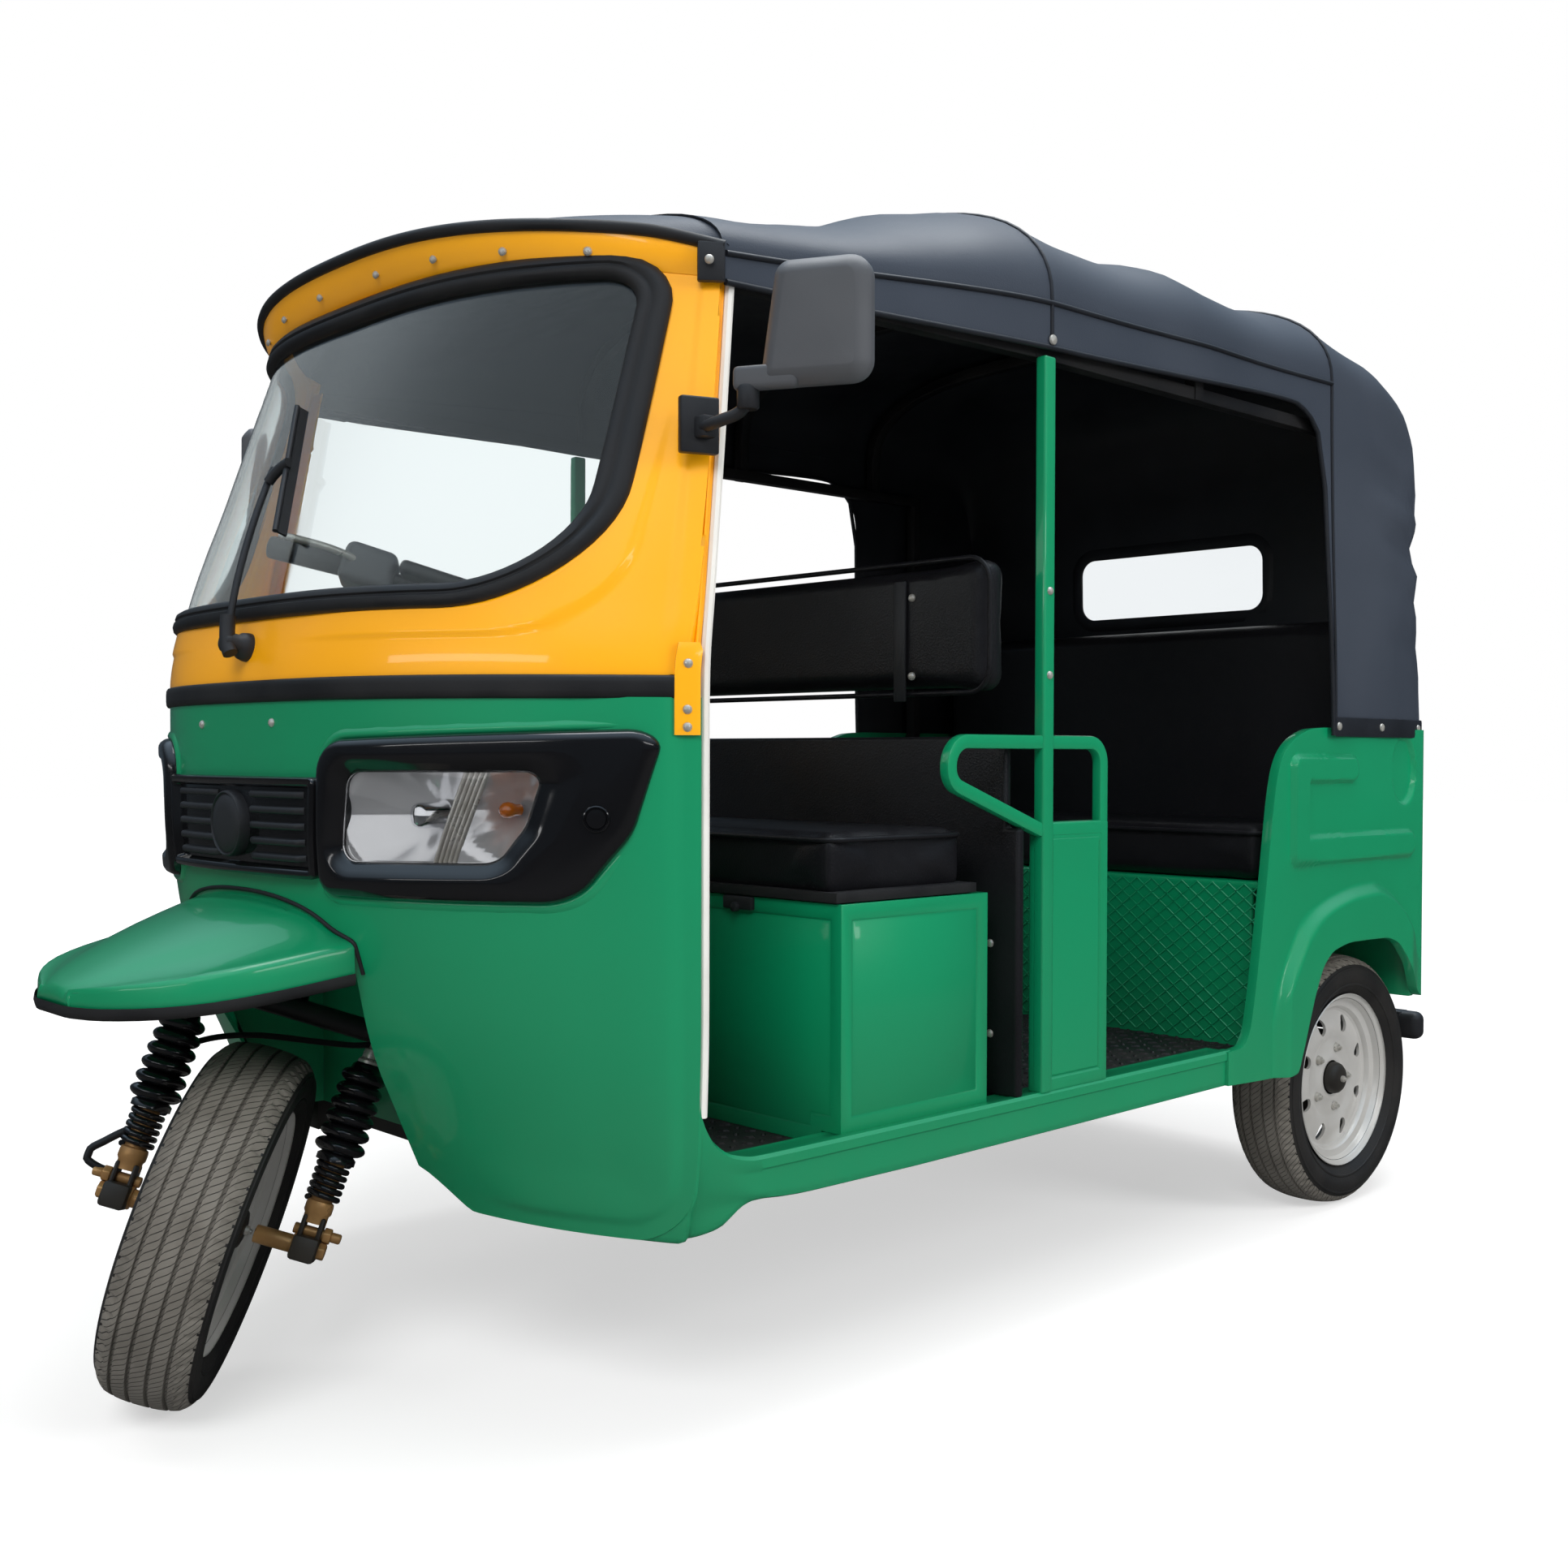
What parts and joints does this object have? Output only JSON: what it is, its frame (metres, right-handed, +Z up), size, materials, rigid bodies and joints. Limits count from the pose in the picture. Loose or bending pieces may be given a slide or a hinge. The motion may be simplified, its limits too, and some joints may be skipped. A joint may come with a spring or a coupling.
{
  "type": "passenger tricycle",
  "caption": "Three-wheeled open-sided passenger cab with a raked windscreen, soft canopy, driver's bench, rear passenger bench and one steered front wheel.",
  "frame": {"origin": "on the road under the middle of the bounding box", "axes": "-Y towards the front, +X to the vehicle's left, +Z up"},
  "size_m": [1.7064, 2.62, 1.802],
  "materials": {
    "green_paint": "gloss",
    "yellow_paint": "gloss",
    "black_paint": "satin",
    "black_plastic": "satin",
    "black_rubber": "matte",
    "screen_glass": "clear",
    "lamp_lens": "clear",
    "tail_lens": "gloss",
    "canopy_vinyl": "satin",
    "seat_vinyl": "satin",
    "floor_mat": "matte",
    "engine_metal": "cast",
    "shock_metal": "worn",
    "tyre_rubber": "matte",
    "rim_silver": "satin"
  },
  "bodies": {
    "body": {"nose_lower": "green_paint", "nose_upper": "yellow_paint", "belt_strip": "black_rubber", "windscreen": "screen_glass", "screen_seal": "black_rubber", "brow": "yellow_paint", "header_roof": "canopy_vinyl", "headlamps": "black_plastic", "lamp_lenses": "lamp_lens", "grille": "black_plastic", "fender": "green_paint", "wiper": "black_plastic", "mirrors": "black_plastic", "wheel_well": "green_paint", "steering_head": "black_paint", "dashboard": "black_plastic", "chassis": "black_paint", "floor_pan": "floor_mat", "sills": "green_paint", "pillars": "green_paint", "grab_frames": "green_paint", "driver_box": "green_paint", "driver_backrest": "seat_vinyl", "partition": "seat_vinyl", "bench_base": "green_paint", "bench_cushion": "seat_vinyl", "bench_backrest": "seat_vinyl", "quarter_left": "green_paint", "quarter_right": "green_paint", "rear_panel": "green_paint", "tail_lamps": "tail_lens", "rear_bumper": "black_paint", "engine": "engine_metal", "rear_suspension": "black_paint", "roof_frame": "black_paint", "canopy": "canopy_vinyl"},
    "steering": {"fork": "black_paint", "shocks": "shock_metal", "handlebar": "black_plastic"},
    "front_wheel": {"front_tyre": "tyre_rubber", "front_rim": "rim_silver"},
    "rear_wheel_left": {"rear_tyre_left": "tyre_rubber", "rear_rim_left": "rim_silver"},
    "rear_wheel_right": {"rear_tyre_right": "tyre_rubber", "rear_rim_right": "rim_silver"},
    "driver_seat_lid": {"driver_lid": "black_paint", "driver_cushion": "seat_vinyl"},
    "engine_hatch": {"engine_hatch": "green_paint"}
  },
  "joints": [
    {"name": "steering", "type": "hinge", "parent": "body", "child": "steering", "pos_m": [0, -1.07, 0.2444], "axis": [0, 0.3746, 0.9272], "range_deg": [-110, 2]},
    {"name": "front_wheel_spin", "type": "hinge", "parent": "steering", "child": "front_wheel", "pos_m": [0, -1.07, 0.2444], "axis": [0.5878, 0.7501, -0.3031], "continuous": true},
    {"name": "rear_wheel_left_spin", "type": "hinge", "parent": "body", "child": "rear_wheel_left", "pos_m": [0.53, 1.006, 0.247], "axis": [1, 0, 0], "continuous": true},
    {"name": "rear_wheel_right_spin", "type": "hinge", "parent": "body", "child": "rear_wheel_right", "pos_m": [-0.53, 1.006, 0.247], "axis": [1, 0, 0], "continuous": true},
    {"name": "driver_seat_lid", "type": "hinge", "parent": "body", "child": "driver_seat_lid", "pos_m": [0, -0.134, 0.692], "axis": [-1, 0, 0], "range_deg": [0, 44]},
    {"name": "engine_hatch", "type": "hinge", "parent": "body", "child": "engine_hatch", "pos_m": [0, 1.264, 0.876], "axis": [1, 0, 0], "range_deg": [0, 85]}
  ]
}
